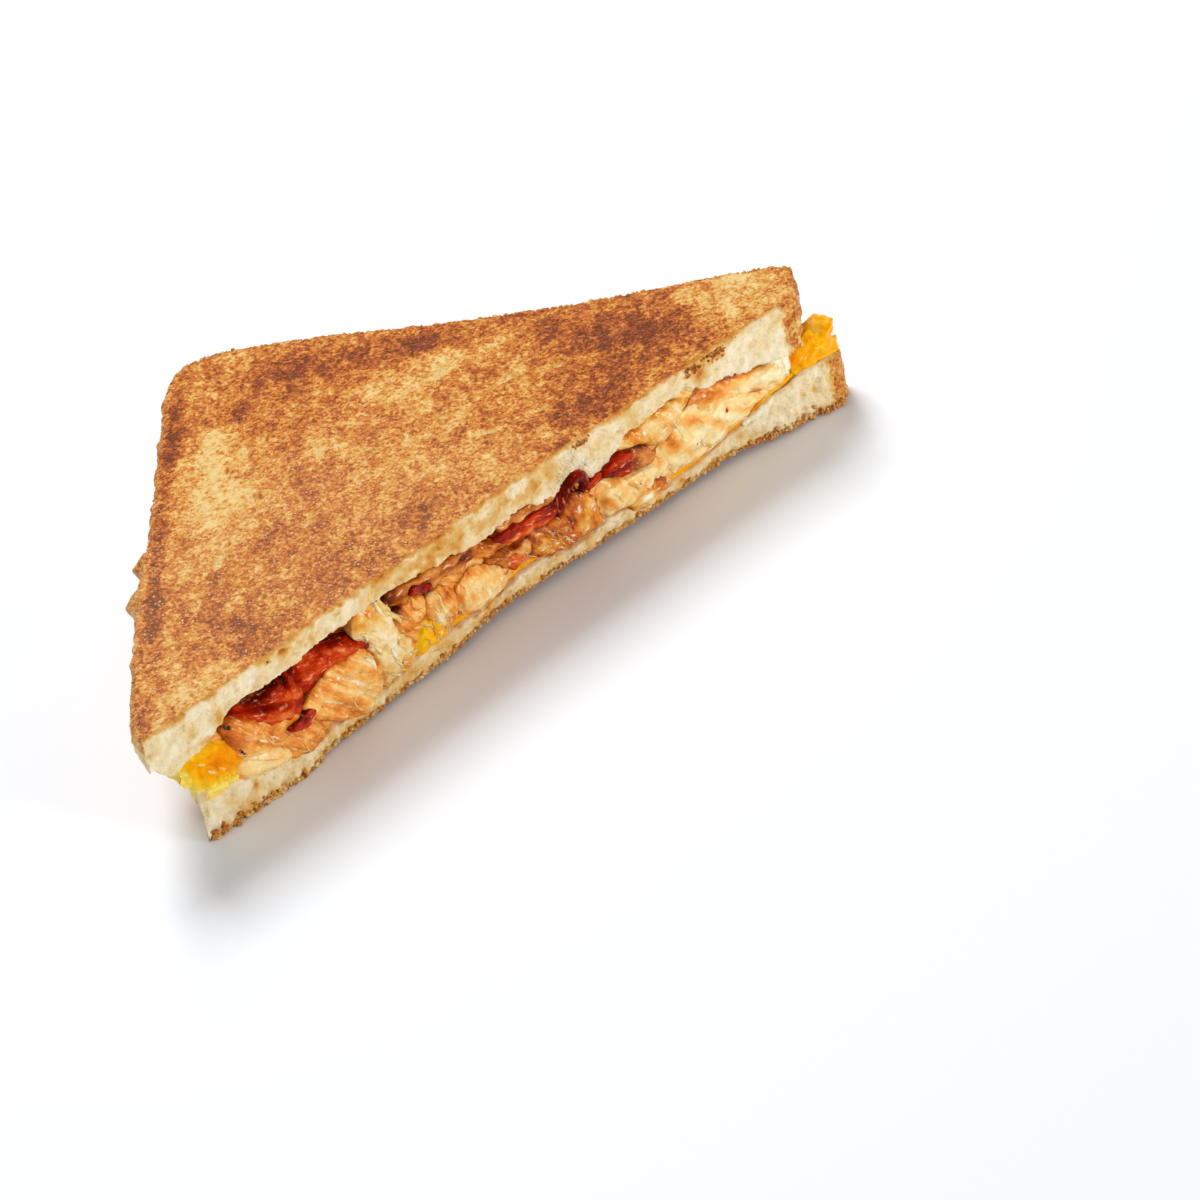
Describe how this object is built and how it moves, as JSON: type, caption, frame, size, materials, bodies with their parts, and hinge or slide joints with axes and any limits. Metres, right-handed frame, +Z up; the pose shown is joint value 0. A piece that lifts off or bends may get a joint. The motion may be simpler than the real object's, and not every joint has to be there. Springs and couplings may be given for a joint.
{
  "type": "toasted sandwich half",
  "caption": "Toasted sandwich cut corner to corner, one half lying flat: griddled bread with chicken, bacon and melted cheese showing at the cut.",
  "frame": {"origin": "on the resting surface, under the middle of the half's box", "axes": "+X along the cut towards the blunt tip, +Y from the cut towards the square corner of the bread, +Z up through the toasted top"},
  "size_m": [0.1589, 0.0829, 0.026],
  "materials": {
    "toasted_bread": "golden to dark brown griddled face, pale cream crumb, brown crust",
    "cheddar": "glossy melted orange cheddar",
    "pale_cheese": "glossy melted pale cheese",
    "chicken": "moist fibrous cooked chicken with an orange glaze",
    "bacon": "glossy dark red fried bacon",
    "bacon_fat": "glossy pinkish cooked fat",
    "orange_melt": "glossy amber melt of cheese and sauce",
    "pepper": "glossy red"
  },
  "bodies": {
    "root": {"bread_bottom": "toasted_bread", "bread_top": "toasted_bread", "cheddar_slice": "cheddar", "pale_cheese_slice": "pale_cheese", "chicken_filling": "chicken", "chicken_1": "chicken", "chicken_2": "chicken", "chicken_3": "chicken", "chicken_4": "chicken", "chicken_5": "chicken", "chicken_6": "chicken", "chicken_7": "chicken", "bacon_left": "bacon", "bacon_bit": "bacon", "bacon_brown": "bacon", "bacon_middle": "bacon", "bacon_curl": "bacon", "bacon_right": "bacon", "bacon_fat": "bacon_fat", "white_melt": "pale_cheese", "amber_melt": "orange_melt", "orange_melt": "orange_melt", "pepper_bit": "pepper"}
  },
  "joints": []
}
